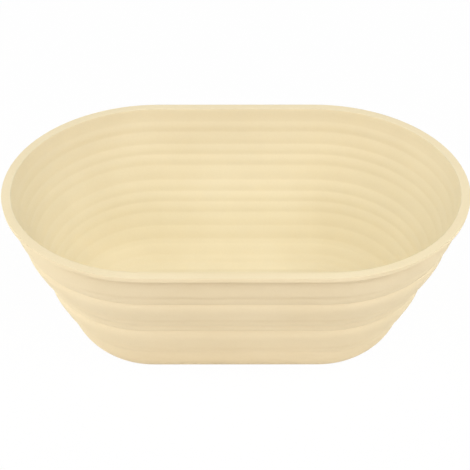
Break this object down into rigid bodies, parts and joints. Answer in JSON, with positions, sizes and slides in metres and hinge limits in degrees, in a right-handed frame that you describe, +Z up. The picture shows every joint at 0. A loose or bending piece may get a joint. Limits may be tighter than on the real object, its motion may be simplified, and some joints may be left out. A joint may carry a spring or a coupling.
{
  "type": "folding proofing basket",
  "caption": "Oval folding basket of soft cream silicone for proofing bread dough, with stepped wall rings joined by thin fold webs, fine ribs inside and a flat lip round the mouth.",
  "frame": {"origin": "middle of the oval foot's underside, on the surface that the basket stands on", "axes": "+X along the oval's length, +Y across its width, +Z up through the mouth"},
  "size_m": [0.25, 0.16, 0.094],
  "materials": {
    "silicone": "matte cream silicone"
  },
  "bodies": {
    "base": {"base_wall": "silicone", "floor_panel": "silicone", "lower_web": "silicone"},
    "lower_tier": {"lower_ring": "silicone", "middle_web": "silicone"},
    "middle_tier": {"middle_ring": "silicone", "upper_web": "silicone"},
    "upper_tier": {"upper_ring": "silicone", "rim_lip": "silicone"}
  },
  "joints": [
    {"name": "lower_fold", "type": "slide", "parent": "base", "child": "lower_tier", "axis": [0, 0, 1], "range_m": [-0.0185, 0], "deforming": ["lower_web"]},
    {"name": "middle_fold", "type": "slide", "parent": "lower_tier", "child": "middle_tier", "axis": [0, 0, 1], "range_m": [-0.023, 0], "deforming": ["middle_web"]},
    {"name": "upper_fold", "type": "slide", "parent": "middle_tier", "child": "upper_tier", "axis": [0, 0, 1], "range_m": [-0.0115, 0], "deforming": ["upper_web"]}
  ]
}
